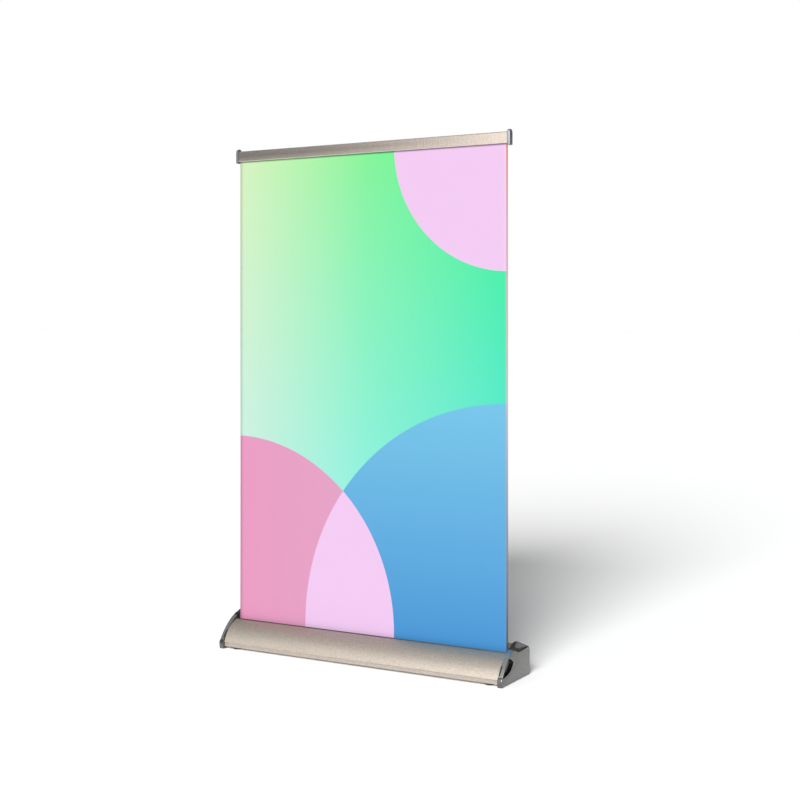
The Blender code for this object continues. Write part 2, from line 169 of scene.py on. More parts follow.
surround = mixed(tree, scaled(tree, split.outputs["Y"], 0.15, 0.5), surround, back_wall)
fill = tree.nodes.new("ShaderNodeBackground")
tree.links.new(surround, fill.inputs["Color"])
fill.inputs["Strength"].default_value = 0.72
backdrop = tree.nodes.new("ShaderNodeBackground")
backdrop.inputs["Color"].default_value = (1.0, 1.0, 1.0, 1.0)
choose = tree.nodes.new("ShaderNodeMixShader")
tree.links.new(tree.nodes.new("ShaderNodeLightPath").outputs["Is Camera Ray"], choose.inputs["Fac"])
tree.links.new(fill.outputs["Background"], choose.inputs[1])
tree.links.new(backdrop.outputs["Background"], choose.inputs[2])
tree.links.new(
    choose.outputs["Shader"], tree.nodes.new("ShaderNodeOutputWorld").inputs["Surface"]
)

# ---------------------------------------------------------------------------------------------
# Cassette: one aluminium extrusion, sawn to length and satin anodised in a warm champagne grey.
# Its curved front ends in a narrow upright lip, and a slot along the top lets the film out.
WALL = 0.0014
PANEL_CENTRE = (0.00224, -0.00399)
PANEL_RADIUS = 0.0321
PANEL_TOP_ANGLE = 110.0
PANEL_FOOT_ANGLE = 160.0
POLE_Y = 0.012
POLE_HOLE_RADIUS = 0.0057
cassette_low, cassette_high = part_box("cassette_extrusion")


def on_circle(centre, radius, angle):
    """The point of a circle in the YZ plane at an angle in degrees from +Y towards +Z."""
    return centre[0] + radius * cos(radians(angle)), centre[1] + radius * sin(radians(angle))


def trace(shape, x, steps):
    """A closed face in the plane at x. A step is a corner, or (centre, angle) to spin the last one."""
    corners = []
    for step in steps:
        if isinstance(step[0], tuple):
            centre, angle = step
            spun = bmesh.ops.spin(
                shape,
                geom=[corners[-1]],
                cent=(x, *centre),
                axis=(1, 0, 0),
                angle=radians(angle),
                steps=40 if abs(angle) < 60 else 8,
            )
            corners.append(next(g for g in spun["geom_last"] if isinstance(g, bmesh.types.BMVert)))
        else:
            corners.append(shape.verts.new((x, *step)))
            if len(corners) > 1:
                shape.edges.new(corners[-2:])
    shape.edges.new((corners[-1], corners[0]))
    return bmesh.ops.contextual_create(shape, geom=shape.edges[:])["faces"][0]


def grow(shape, face, length):
    """Extrudes a face along X and returns the new end face."""
    grown = bmesh.ops.extrude_face_region(shape, geom=[face])["geom"]
    moved = [g for g in grown if isinstance(g, bmesh.types.BMVert)]
    bmesh.ops.translate(shape, vec=(length, 0, 0), verts=moved)
    return next(g for g in grown if isinstance(g, bmesh.types.BMFace))


def soften(shape, edges, width, segments=3):
    """Rounds edges off with a bevel."""
    bmesh.ops.bevel(
        shape,
        geom=edges,
        offset=width,
        offset_type="OFFSET",
        affect="EDGES",
        segments=segments,
        profile=0.5,
        material=-1,
        clamp_overlap=True,
    )


def mesh_object(name, shape, *materials):
    """An object from a finished bmesh, with its place in its mesh."""
    bmesh.ops.remove_doubles(shape, verts=shape.verts, dist=1e-7)
    bmesh.ops.recalc_face_normals(shape, faces=shape.faces)
    mesh = bpy.data.meshes.new(name)
    shape.to_mesh(mesh)
    shape.free()
    mesh.shade_smooth()
    mesh.set_sharp_from_angle(angle=radians(32))
    made = bpy.data.objects.new(name, mesh)
    bpy.context.scene.collection.objects.link(made)
    for finish in materials:
        mesh.materials.append(finish)
    return made


def fit_piece(made, body, slot, *stands_for):
    """Puts a piece on its body and hides the CAD nodes that it stands for; slot, its finish's name, is
    not used.
    """
    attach(made, body)
    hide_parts(*stands_for)
    return made


def carve(piece, cutters, operation="DIFFERENCE"):
    """Cuts helper shapes out of a piece for good, or joins them to it, and throws them away."""
    for cutter in cutters:
        change = piece.modifiers.new(cutter.name, "BOOLEAN")
        change.operation = operation
        change.solver = "EXACT"
        change.material_mode = "TRANSFER"
        change.object = cutter
    bpy.context.view_layer.update()
    ready = piece.evaluated_get(bpy.context.evaluated_depsgraph_get())
    cut = bpy.data.meshes.new_from_object(ready)
    piece.modifiers.clear()
    piece.data = cut
    cut.name = piece.name
    cut.set_sharp_from_angle(angle=radians(32))
    for cutter in cutters:
        bpy.data.objects.remove(cutter)


TURN_ALONG = {
    "X": Matrix.Rotation(pi / 2, 3, "Y"),
    "Y": Matrix.Rotation(-pi / 2, 3, "X"),
    "Z": Matrix.Identity(3),
}


def turned(profile, along, centre, steps=64):
    """A profile of (radius, height) spun about an axis through centre, closed if it is a ring."""
    shape = bmesh.new()
    corners = [shape.verts.new((radius, 0, height)) for radius, height in profile]
    edges = [shape.edges.new(pair) for pair in zip(corners, corners[1:])]
    if profile[0][0] > 0 or profile[-1][0] > 0:
        edges.append(shape.edges.new((corners[-1], corners[0])))
    bmesh.ops.spin(
        shape,
        geom=corners + edges,
        cent=(0, 0, 0),
        axis=(0, 0, 1),
        angle=2 * pi,
        steps=steps,
        use_merge=True,
    )
    bmesh.ops.remove_doubles(shape, verts=shape.verts, dist=1e-7)
    bmesh.ops.rotate(shape, matrix=TURN_ALONG[along], verts=shape.verts)
    bmesh.ops.translate(shape, vec=centre, verts=shape.verts)
    return shape


def rod(radius, low, high):
    """The profile of a plain round bar."""
    return [(0, low), (radius, low), (radius, high), (0, high)]


def new_finish(name, roughness, metallic):
    """A finish to be filled in: the material, its node tree, its shader and its Object coordinates."""
    made = bpy.data.materials.new(name)
    made.use_nodes = True
    tree = made.node_tree
    shader = tree.nodes["Principled BSDF"]
    shader.inputs["Roughness"].default_value = roughness
    shader.inputs["Metallic"].default_value = metallic
    return made, tree, shader, tree.nodes.new("ShaderNodeTexCoord").outputs["Object"]


def grain(tree, coordinates, stretch, scale, detail=4.0):
    """Noise on stretched coordinates, spread over 0 to 1: the marks of drawing, rolling or wear."""
    place = tree.nodes.new("ShaderNodeMapping")
    place.inputs["Scale"].default_value = stretch
    noise = tree.nodes.new("ShaderNodeTexNoise")
    noise.inputs["Scale"].default_value = scale
    noise.inputs["Detail"].default_value = detail
    tree.links.new(coordinates, place.inputs["Vector"])
    tree.links.new(place.outputs["Vector"], noise.inputs["Vector"])
    return scaled(tree, noise.outputs["Fac"], 0.3, 0.7)


def relief(tree, shader, height, depth, strength=1.0):
    """Bump from a 0 to 1 height; depth is the size of the bumps in metres."""
    bump = tree.nodes.new("ShaderNodeBump")
    bump.inputs["Strength"].default_value = strength
    bump.inputs["Distance"].default_value = depth
    tree.links.new(height, bump.inputs["Height"])
    tree.links.new(bump.outputs["Normal"], shader.inputs["Normal"])


def anodised(name, cool, warm, roughness, streaks, metallic=1.0, spread=0.03):
    """Satin anodised aluminium: a fine two-tone speckle, and faint streaks along the metal's length."""
    made, tree, shader, coordinates = new_finish(name, roughness, metallic)
    speckle = grain(tree, coordinates, EVEN, 700.0, 6.0)
    colour = ramp_of(tree, speckle, [(0.0, cool), (1.0, warm)])
    tree.links.new(colour, shader.inputs["Base Color"])
    drawn = grain(tree, coordinates, streaks, 1.0, 3.0)
    sheen = scaled(tree, drawn, 0.0, 1.0, roughness - spread, roughness + spread)
    tree.links.new(sheen, shader.inputs["Roughness"])
    relief(tree, shader, speckle, 0.00002, 0.5)
    return made


EVEN = (1, 1, 1)
ALONG_X = (6, 900, 900)
ALONG_Z = (900, 900, 6)
champagne = anodised(
    "champagne_anodised", (0.345, 0.315, 0.279), (0.465, 0.404, 0.340), 0.52, ALONG_X, 0.9
)

shape = bmesh.new()
PANEL_SWEEP = PANEL_FOOT_ANGLE - PANEL_TOP_ANGLE
section = trace(
    shape,
    cassette_low.x,
    [
        on_circle(PANEL_CENTRE, PANEL_RADIUS, PANEL_TOP_ANGLE),
        (PANEL_CENTRE, PANEL_SWEEP),
        (-0.0281, 0.0064),
        (-0.0280, 0.0060),
        (-0.0277, 0.0057),
        (-0.0277, 0.0026),
        (-0.0274, 0.0023),
        (0.0279, 0.0023),
        (0.0282, 0.0026),
        (0.0282, 0.0204),
        (0.0277, 0.0214),
        (0.0254, 0.0234),
        (0.0170, 0.0270),
        (0.0083, 0.0318),
        (0.0070, 0.0320),
        (0.0050, 0.0316),
        (-0.0005, 0.0304),
        (-0.0009, 0.0301),
        (-0.0009, 0.0260),
        (0.0005, 0.0260),
        (0.0005, 0.0291),
        (0.0052, 0.0302),
        (0.0080, 0.0303),
        (0.0163, 0.0256),
        (0.0246, 0.0222),
        (0.0268, 0.0202),
        (0.0268, 0.0037),
        (-0.0263, 0.0037),
        (-0.0263, 0.0064),
        on_circle(PANEL_CENTRE, PANEL_RADIUS - WALL, PANEL_FOOT_ANGLE),
        (PANEL_CENTRE, -PANEL_SWEEP),
    ],
)
grow(shape, section, cassette_high.x - cassette_low.x)
cassette = fit_piece(
    mesh_object("cassette_shell", shape, champagne),
    "base",
    "champagne_aluminium",
    "cassette_extrusion",
)
pole_hole = turned(rod(POLE_HOLE_RADIUS, 0.024, 0.040), "Z", (0, POLE_Y, 0))
carve(cassette, [mesh_object("pole_hole", pole_hole, champagne)])

# ---------------------------------------------------------------------------------------------
# End caps: moulded plastic with a bright chrome finish, pegged and screwed into the cassette's
# ends. The rim stands proud of the panel, the top falls away outwards behind it, and the side
# face has a leaf-shaped scoop, finished dark as painted shade in its hollow.
CAP_INNER = 0.1503
CAP_OUTER = 0.1550
CAP_SHOULDER = 0.1537
CAP_CENTRE = (0.0214, -0.0215)
CAP_RADIUS = 0.0582
CAP_FOOT_ANGLE = 148.5
CAP_TOP_ANGLE = 108.5
VALLEY = (0.0065, 0.0253)
FRONT_SLOPE = -0.327
REAR_SLOPE = 0.055
CAP_BAND = 0.1544
BAND_HEIGHT = 0.0030
EDGE_ROUND = 0.00055
FOOT_HEIGHT = 0.0090
GROOVE_FOOT_ANGLE = 147.0
GROOVE_TOP_ANGLE = 137.5
SCOOP_DEPTH = 0.0024


def chrome_finish(name, dull, bright, roughness, metallic=1.0):
    """Plating over plastic: clear reflections, faint wiping marks and a slight ripple."""
    made, tree, shader, coordinates = new_finish(name, roughness, metallic)
    wiped = grain(tree, coordinates, (40, 40, 160), 1.0, 5.0)
    tree.links.new(ramp_of(tree, wiped, [(0.0, dull), (1.0, bright)]), shader.inputs["Base Color"])
    tree.links.new(
        scaled(tree, wiped, 0.0, 1.0, roughness - 0.03, roughness + 0.05), shader.inputs["Roughness"]
    )
    relief(tree, shader, grain(tree, coordinates, EVEN, 150.0, 1.0), 0.00003)
    return made


chrome = chrome_finish("cap_chrome", (0.145, 0.143, 0.137), (0.185, 0.182, 0.174), 0.28)
# Painted shade: a darker copy of the chrome for the top facet behind the rim.
facet_painted_shade = chrome_finish("cap_top_facet_painted_shade", (0.105, 0.104, 0.10), (0.135, 0.134, 0.129), 0.32)
# Painted highlight: a lighter copy of the chrome for the rim's front and top faces, where the key
# lamp's light falls.
rim_painted_highlight = chrome_finish("cap_rim_painted_highlight", (0.44, 0.44, 0.435), (0.52, 0.52, 0.51), 0.24)
# Painted shade: a darker copy of the chrome for the scoop and the groove, for the shade in their
# hollows.
painted_hollow_shade = chrome_finish("cap_painted_hollow_shade_scoop", (0.070, 0.070, 0.064), (0.12, 0.118, 0.110), 0.22)
# Painted reflection: a near-black finish for the band along the valley, for the dark surroundings that
# the chrome reflects there.
band_painted_reflection = chrome_finish("cap_band_painted_dark_reflection", (0.008, 0.008, 0.007), (0.015, 0.015, 0.014), 0.4)


def valley_height(y):
    """How high the side face reaches: its top edge dips to a valley behind the rim."""
    behind = y - VALLEY[0]
    return VALLEY[1] + (REAR_SLOPE if behind > 0 else FRONT_SLOPE) * behind


def cap_shape(side):
    """The cap from its face against the extrusion to its side face, with rounded rims."""
    shape = bmesh.new()
    face = trace(
        shape,
        side * CAP_INNER,
        [
            (-0.0272, 0.0003),
            (-0.0292, 0.0003),
            (-0.0302, 0.0054),
            (-0.0297, 0.0074),
            on_circle(CAP_CENTRE, CAP_RADIUS, CAP_FOOT_ANGLE),
            (CAP_CENTRE, CAP_TOP_ANGLE - CAP_FOOT_ANGLE),
            (0.0060, 0.0338),
            (0.0080, 0.0340),
            (0.0094, 0.0336),
            (0.0274, 0.0264),
            (0.0292, 0.0248),
            (0.0302, 0.0226),
            (0.0302, 0.0025),
            (0.0279, 0.0003),
        ],
    )
    face = grow(shape, face, side * (CAP_SHOULDER - CAP_INNER))
    for x, lift in ((CAP_BAND, BAND_HEIGHT), (CAP_OUTER, 0.0)):
        inside = face
        face = grow(shape, face, side * (x - abs(face.calc_center_median().x)))
        bmesh.ops.delete(shape, geom=[inside], context="FACES_ONLY")
        for corner in face.verts:
            corner.co.z = min(corner.co.z, valley_height(corner.co.y) + lift)
    soften(shape, list(face.edges), EDGE_ROUND, 4)
    shape.normal_update()
    for face in shape.faces:
        middle = face.calc_center_median()
        outwards = side * middle.x
        # Painted highlight: faces of the rim that look forwards or up, above the foot, take the lighter
        # chrome.
        if abs(face.normal.x) < 0.6 and middle.y < 0.010 and middle.z > FOOT_HEIGHT:
            face.material_index = 2
        in_valley = middle.z > valley_height(middle.y) - 0.0010 and -0.0066 < middle.y < 0.0270
        # Painted reflection: the band between the top facet and the side face takes the near-black
        # finish.
        if CAP_BAND < outwards < CAP_OUTER - 1e-5 and in_valley:
            face.material_index = 4
        # Painted shade: the top facet in the valley takes the darker chrome.
        if CAP_INNER < outwards < CAP_BAND and in_valley:
            face.material_index = 3
    return shape


def leaf_cutter(side, name):
    """The leaf-shaped scoop in the side face, rounded along the rim; painted shade in dark chrome."""
    shape = bmesh.new()
    face = trace(
        shape,
        side * (CAP_OUTER - SCOOP_DEPTH),
        [
            on_circle(CAP_CENTRE, CAP_RADIUS - 0.0006, 149.0),
            (CAP_CENTRE, -20.4),
            (-0.0096, 0.0216),
            (-0.0058, 0.0186),
            (-0.0078, 0.0152),
            (-0.0118, 0.0116),
            (-0.0175, 0.0096),
            (-0.0240, 0.0083),
        ],
    )
    grow(shape, face, side * (SCOOP_DEPTH + 0.001))
    return mesh_object(name, shape, painted_hollow_shade)


def groove_cutter(side, name):
    """A groove low on the rim, next to the panel, in dark chrome as painted shade."""
    shape = bmesh.new()
    face = trace(
        shape,
        side * (CAP_INNER + 0.0005),
        [
            on_circle(CAP_CENTRE, CAP_RADIUS + 0.0010, GROOVE_FOOT_ANGLE),
            (CAP_CENTRE, GROOVE_TOP_ANGLE - GROOVE_FOOT_ANGLE),
            on_circle(CAP_CENTRE, CAP_RADIUS - 0.0007, GROOVE_TOP_ANGLE),
            (CAP_CENTRE, GROOVE_FOOT_ANGLE - GROOVE_TOP_ANGLE),
        ],
    )
    grow(shape, face, side * 0.0010)
    return mesh_object(name, shape, painted_hollow_shade)


cap_finishes = (chrome, painted_hollow_shade, rim_painted_highlight, facet_painted_shade, band_painted_reflection)
for side, name in ((-1, "left"), (1, "right")):
    cap = mesh_object(f"cap_{name}", cap_shape(side), *cap_finishes)
    carve(cap, [leaf_cutter(side, f"scoop_{name}"), groove_cutter(side, f"groove_{name}")])
    fit_piece(cap, "base", "chrome_cap", f"end_cap_{name}")

# ---------------------------------------------------------------------------------------------
# Screws and feet under the cassette: zinc-plated pan-head screws with a cross recess, driven up
# through the floor into the caps' pegs and the pole socket, and four moulded rubber feet.


def zinc_finish():
    """Zinc plating with a faint cloud in it."""
    made, tree, shader, coordinates = new_finish("zinc_screws", 0.3, 1.0)
    cloud = grain(tree, coordinates, EVEN, 900.0, 3.0)
    tree.links.new(
        ramp_of(tree, cloud, [(0.0, (0.50, 0.51, 0.53)), (1.0, (0.64, 0.65, 0.66))]),
        shader.inputs["Base Color"],
    )
    tree.links.new(scaled(tree, cloud, 0.0, 1.0, 0.24, 0.40), shader.inputs["Roughness"])
    relief(tree, shader, cloud, 0.00001)
    return made


def rubber_finish():
    """Moulded black rubber with a fine grit."""
    made, tree, shader, coordinates = new_finish("foot_rubber", 0.85, 0.0)
    grit = grain(tree, coordinates, EVEN, 1600.0, 2.0)
    tree.links.new(
        ramp_of(tree, grit, [(0.0, (0.018, 0.018, 0.018)), (1.0, (0.034, 0.034, 0.035))]),
        shader.inputs["Base Color"],
    )
    tree.links.new(scaled(tree, grit, 0.0, 1.0, 0.75, 0.92), shader.inputs["Roughness"])
    relief(tree, shader, grit, 0.00003)
    return made


def cross_recess(name, place, along, depth, material):
    """Two crossed bars that cut the driver's recess out of a screw head."""
    bars = []
    for number, size in enumerate(((0.0026, 0.0007, depth), (0.0007, 0.0026, depth))):
        shape = bmesh.new()
        bmesh.ops.create_cube(shape, size=1)
        bmesh.ops.scale(shape, vec=size, verts=shape.verts)
        bmesh.ops.rotate(shape, matrix=TURN_ALONG[along], verts=shape.verts)
        bmesh.ops.translate(shape, vec=place, verts=shape.verts)
        bars.append(mesh_object(f"{name}_bar_{number}", shape, material))
    return bars


def pan_screw(node, body, along, place, head_radius, head_height, shank_radius, length, sign=1):
    """A screw whose head's outer face is at place and whose shank runs along the axis."""
    profile = [
        (0, 0),
        (head_radius * 0.62, 0),
        (head_radius * 0.86, 0.00014),
        (head_radius, 0.00042),
        (head_radius, head_height),
        (shank_radius, head_height),
        (shank_radius, length - 0.0006),
        (shank_radius - 0.0006, length),
        (0, length),
    ]
    profile = [(radius, sign * height) for radius, height in profile]
    screw = mesh_object(f"{node}_fine", turned(profile, along, place, 40), zinc)
    carve(screw, cross_recess(node, place, along, 0.0012, zinc))
    fit_piece(screw, body, "screw_steel", node)


zinc = zinc_finish()
rubber = rubber_finish()
CAP_SCREW_X = 0.146
SOCKET_SCREW_X = 0.0087
SCREW_FACE = 0.0011
FLOOR_SCREW = {"head_radius": 0.0023, "head_height": 0.0009, "shank_radius": 0.0012}
CAP_SCREW_LENGTH = 0.0064
SOCKET_SCREW_LENGTH = 0.0099
for side, name in ((-1, "left"), (1, "right")):
    for where, y in (("front", -0.0230), ("rear", 0.0227)):
        place = (side * CAP_SCREW_X, y, SCREW_FACE)
        node = f"cap_screw_{where}_{name}"
        pan_screw(node, "base", "Z", place, length=CAP_SCREW_LENGTH, **FLOOR_SCREW)
    place = (side * SOCKET_SCREW_X, POLE_Y, SCREW_FACE)
    node = f"socket_screw_{name}"
    pan_screw(node, "base", "Z", place, length=SOCKET_SCREW_LENGTH, **FLOOR_SCREW)
    for where in ("front", "rear"):
        node = f"foot_{where}_{name}"
        low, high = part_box(node)
        middle = (low + high) / 2
        radius = (high.x - low.x) / 2
        profile = [
            (0, 0.0003),
            (radius * 0.35, 0.0003),
            (radius * 0.42, 0.0),
            (radius * 0.86, 0.0),
            (radius * 0.96, 0.0001),
            (radius, 0.0005),
            (radius, high.z),
            (0, high.z),
        ]
        foot = mesh_object(f"{node}_pad", turned(profile, "Z", (middle.x, middle.y, 0)), rubber)
        fit_piece(foot, "base", "foot_rubber", node)

# ---------------------------------------------------------------------------------------------
# Roller: an aluminium tube between an idler plug and a bush, turned by the torsion spring round
# its fixed shaft. It sits out of sight in the cassette, with the film's last turns on it.


def moulded(name, dark, light, roughness):
    """Injection-moulded plastic with a fine spark texture."""
    made, tree, shader, coordinates = new_finish(name, roughness, 0.0)
    texture = grain(tree, coordinates, EVEN, 1400.0, 2.0)
    cloud = grain(tree, coordinates, EVEN, 60.0, 2.0)
    tree.links.new(ramp_of(tree, cloud, [(0.0, dark), (1.0, light)]), shader.inputs["Base Color"])
    tree.links.new(
        scaled(tree, texture, 0.0, 1.0, roughness - 0.07, roughness + 0.07), shader.inputs["Roughness"]
    )
    relief(tree, shader, texture, 0.00003)
    return made


def plain_film(name, dark, light):
    """The film's unprinted side: a faint cloudiness and cross grain, and a satin sheen."""
    made, tree, shader, coordinates = new_finish(name, 0.5, 0.0)
    cloud = grain(tree, coordinates, EVEN, 24.0, 4.0)
    tree.links.new(ramp_of(tree, cloud, [(0.0, dark), (1.0, light)]), shader.inputs["Base Color"])
    weave = grain(tree, coordinates, (900, 1, 200), 1.0, 2.0)
    tree.links.new(scaled(tree, weave, 0.0, 1.0, 0.42, 0.58), shader.inputs["Roughness"])
    relief(tree, shader, weave, 0.00001)
    return made


def steel_finish(name):
    """Drawn steel with faint marks along the wire or bar."""
    made, tree, shader, coordinates = new_finish(name, 0.32, 1.0)
    drawn = grain(tree, coordinates, ALONG_X, 1.0, 3.0)
    tree.links.new(
        ramp_of(tree, drawn, [(0.0, (0.40, 0.41, 0.42)), (1.0, (0.58, 0.59, 0.60))]),
        shader.inputs["Base Color"],
    )
    tree.links.new(scaled(tree, drawn, 0.0, 1.0, 0.26, 0.40), shader.inputs["Roughness"])
    relief(tree, shader, drawn, 0.00001)
    return made


black_plastic = moulded("black_plastic", (0.022, 0.022, 0.023), (0.034, 0.034, 0.034), 0.48)
milky_plastic = moulded("milky_plastic", (0.70, 0.71, 0.70), (0.78, 0.79, 0.78), 0.42)
roller_metal = anodised("roller_mill_finish", (0.62, 0.63, 0.64), (0.74, 0.75, 0.76), 0.34, ALONG_X)
spring_steel = steel_finish("spring_steel")
film_back = plain_film("film_back", (0.60, 0.61, 0.62), (0.68, 0.685, 0.69))
leader_film = plain_film("leader_film", (0.74, 0.74, 0.72), (0.82, 0.82, 0.80))


def refinish(material, *nodes):
    """Gives CAD nodes that keep their own shape a finished material."""
    for node in nodes:
        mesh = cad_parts[node].data
        mesh.materials.clear()
        mesh.materials.append(material)


refinish(roller_metal, "roller_tube")
refinish(black_plastic, "idler_plug", "roller_bush", "spring_drive_plug", "pole_socket")
refinish(spring_steel, "spring_shaft", "spring_anchor", "torsion_spring")
refinish(leader_film, "leader_strip")
refinish(film_back, "wound_film")

# ---------------------------------------------------------------------------------------------
# Slot guard: a thin black plastic strip pushed over the panel's top edge from inside, which keeps
# the film off the metal as it runs out. Its black also stands for the shade in the slot, as a
# line of painted shade along the edge.
GUARD_FRONT = -0.0083
GUARD_BACK = -0.0075
GUARD_LOW = 0.0250
GUARD_TOP = 0.0270
GUARD_INSET = 0.0004


def rounded_block(name, low, high, width, material):
    """A block between two corners, with its edges rounded by width."""
    shape = bmesh.new()
    bmesh.ops.create_cube(shape, size=1)
    bmesh.ops.scale(shape, vec=[h - l for l, h in zip(low, high)], verts=shape.verts)
    bmesh.ops.translate(shape, vec=[(l + h) / 2 for l, h in zip(low, high)], verts=shape.verts)
    soften(shape, list(shape.edges), width)
    return mesh_object(name, shape, material)


guard_and_shade = rounded_block(
    "slot_guard_and_shade",
    (cassette_low.x + GUARD_INSET, GUARD_FRONT, GUARD_LOW),
    (cassette_high.x - GUARD_INSET, GUARD_BACK, GUARD_TOP),
    0.0002,
    black_plastic,
)
fit_piece(guard_and_shade, "base", "black_plastic", "cassette_extrusion")

# ---------------------------------------------------------------------------------------------
# Pole: three drawn aluminium tubes that slide in each other. A moulded friction collar with grip
# ribs closes each of the two wider tubes, and plugs close the bottom and the top.
# Each tube's outer and inner radius.
TUBES = {
    "lower": (0.0050, 0.0043),
    "middle": (0.0040, 0.0033),
    "inner": (0.0030, 0.0025),
}
tube_metal = anodised("pole_satin_tube", (0.66, 0.67, 0.68), (0.76, 0.765, 0.77), 0.30, ALONG_Z)
for level, (outer, inner) in TUBES.items():
    low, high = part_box(f"pole_{level}_tube")
    edge = (outer - inner) * 0.3
    profile = [
        (inner, low.z + edge),
        (inner + edge, low.z),
        (outer - edge, low.z),
        (outer, low.z + edge),
        (outer, high.z - edge),
        (outer - edge, high.z),
        (inner + edge, high.z),
        (inner, high.z - edge),
    ]
    tube = mesh_object(f"{level}_tube", turned(profile, "Z", (0, POLE_Y, 0)), tube_metal)
    fit_piece(tube, f"pole_{level}", "pole_aluminium", f"pole_{level}_tube")

RIB_HEIGHT = 0.0003
RIB_STEPS = 72
for level, through in (("lower", "middle"), ("middle", "inner")):
    node = f"{level}_collar"
    low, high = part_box(node)
    outer = (high.x - low.x) / 2
    bore = TUBES[level][0] + 0.0003
    neck = TUBES[through][0] + 0.0001
    ledge = high.z - 0.0017
    waist = outer - RIB_HEIGHT
    profile = [
        (bore, low.z + 0.0003),
        (bore + 0.0003, low.z),
        (outer - 0.0005, low.z),
        (outer, low.z + 0.0005),
        (outer, low.z + 0.0012),
        (waist, low.z + 0.0016),
        (waist, high.z - 0.0030),
        (outer, high.z - 0.0026),
        (outer, high.z - 0.0008),
        (outer - 0.0003, high.z - 0.0003),
        (outer - 0.0008, high.z),
        (neck + 0.0003, high.z),
        (neck, high.z - 0.0003),
        (neck, ledge),
        (bore, ledge),
    ]
    shape = turned(profile, "Z", (0, POLE_Y, 0), RIB_STEPS)
    shape.normal_update()
    band = []
    for face in shape.faces:
        middle = face.calc_center_median() - Vector((0, POLE_Y, 0))
        if low.z + 0.002 < middle.z < high.z - 0.004 and middle.xy.length > bore + 0.0005:
            band.append((middle.xy.angle_signed(Vector((1, 0))), face))
    band = [face for _, face in sorted(band, key=lambda entry: entry[0])]
    for rib in bmesh.ops.extrude_discrete_faces(shape, faces=band[::3])["faces"]:
        outward = (rib.calc_center_median() - Vector((0, POLE_Y, 0))).xy.normalized().to_3d()
        bmesh.ops.translate(shape, vec=outward * RIB_HEIGHT, verts=rib.verts)
    collar = mesh_object(f"{node}_ribbed", shape, black_plastic)
    fit_piece(collar, f"pole_{level}", "black_plastic", node)

low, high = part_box("pole_foot_plug")
plug_radius = (high.x - low.x) / 2
spigot = TUBES["lower"][1] - 0.0003
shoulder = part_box("pole_lower_tube")[0].z - 0.0003
profile = [
    (0, low.z),
    (plug_radius - 0.0008, low.z),
    (plug_radius - 0.0002, low.z + 0.0003),
    (plug_radius, low.z + 0.0006),
    (plug_radius, shoulder),
    (spigot, shoulder),
    (spigot, high.z - 0.0003),
    (spigot - 0.0003, high.z),
    (0, high.z),
]
plug = mesh_object("foot_plug", turned(profile, "Z", (0, POLE_Y, 0)), black_plastic)
fit_piece(plug, "pole_lower", "black_plastic", "pole_foot_plug")

low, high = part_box("pole_tip")
flange_radius = (high.x - low.x) / 2
tip_radius = 0.0025
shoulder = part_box("pole_inner_tube")[1].z + 0.0003
spigot = TUBES["inner"][1] - 0.0003
profile = [
    (0, low.z),
    (spigot - 0.0003, low.z),
    (spigot, low.z + 0.0003),
    (spigot, shoulder),
    (flange_radius - 0.0003, shoulder),
    (flange_radius, shoulder + 0.0003),
    (flange_radius, shoulder + 0.0011),
    (flange_radius - 0.0003, shoulder + 0.0014),
    (tip_radius, shoulder + 0.0014),
    (tip_radius, high.z - 0.0014),
    (tip_radius - 0.0003, high.z - 0.0006),
    (tip_radius - 0.0009, high.z),
    (0, high.z),
]
tip = mesh_object("tip_plug", turned(profile, "Z", (0, POLE_Y, 0)), black_plastic)
fit_piece(tip, "pole_inner", "black_plastic", "pole_tip")

# ---------------------------------------------------------------------------------------------
# Top rail: a small aluminium extrusion whose lips hold the film's clamp strip. Chromed plastic
# caps are pushed into its ends, and a black bracket behind it, on two screws, hooks over the pole.
RAIL_FRONT = -0.0062
RAIL_BACK = -0.0007
RAIL_BOTTOM = 0.4855
RAIL_TOP = 0.4960
RAIL_WALL = 0.0012
RAIL_ROUND = 0.0012
FILM_Y = -0.00345
LIP_GAP = 0.00065
RAIL_CAP_INNER = 0.1491
RAIL_CAP_LENGTH = 0.0029
RAIL_CAP_ROUND = 0.0008
RAIL_PEG_SIZE = (0.0070, 0.0025, 0.0022)
RAIL_PEG_X = 0.1465
RAIL_PEG_Z = 0.4934
rail_low, rail_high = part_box("rail_profile")
RAIL_STREAKS = (3, 300, 300)
rail_metal = anodised(
    "rail_anodised", (0.77, 0.71, 0.66), (0.88, 0.78, 0.70), 0.22, RAIL_STREAKS, spread=0.012
)

shape = bmesh.new()
section = trace(
    shape,
    rail_low.x,
    [
        (FILM_Y - LIP_GAP, RAIL_BOTTOM),
        (RAIL_FRONT + 0.0004, RAIL_BOTTOM),
        ((RAIL_FRONT + 0.0004, RAIL_BOTTOM + 0.0004), -90),
        (RAIL_FRONT, RAIL_TOP - RAIL_ROUND),
        ((RAIL_FRONT + RAIL_ROUND, RAIL_TOP - RAIL_ROUND), -90),
        (RAIL_BACK - RAIL_ROUND, RAIL_TOP),
        ((RAIL_BACK - RAIL_ROUND, RAIL_TOP - RAIL_ROUND), -90),
        (RAIL_BACK, RAIL_BOTTOM + 0.0002),
        (RAIL_BACK - 0.0002, RAIL_BOTTOM),
        (FILM_Y + LIP_GAP, RAIL_BOTTOM),
        (FILM_Y + LIP_GAP, RAIL_BOTTOM + RAIL_WALL),
        (RAIL_BACK - RAIL_WALL, RAIL_BOTTOM + RAIL_WALL),
        (RAIL_BACK - RAIL_WALL, RAIL_TOP - RAIL_WALL),
        (RAIL_FRONT + RAIL_WALL, RAIL_TOP - RAIL_WALL),
        (RAIL_FRONT + RAIL_WALL, RAIL_BOTTOM + RAIL_WALL),
        (FILM_Y - LIP_GAP, RAIL_BOTTOM + RAIL_WALL),
    ],
)
grow(shape, section, rail_high.x - rail_low.x)
fit_piece(
    mesh_object("rail_extrusion", shape, rail_metal), "rail", "rail_aluminium", "rail_profile"
)
refinish(milky_plastic, "rail_clamp_strip")

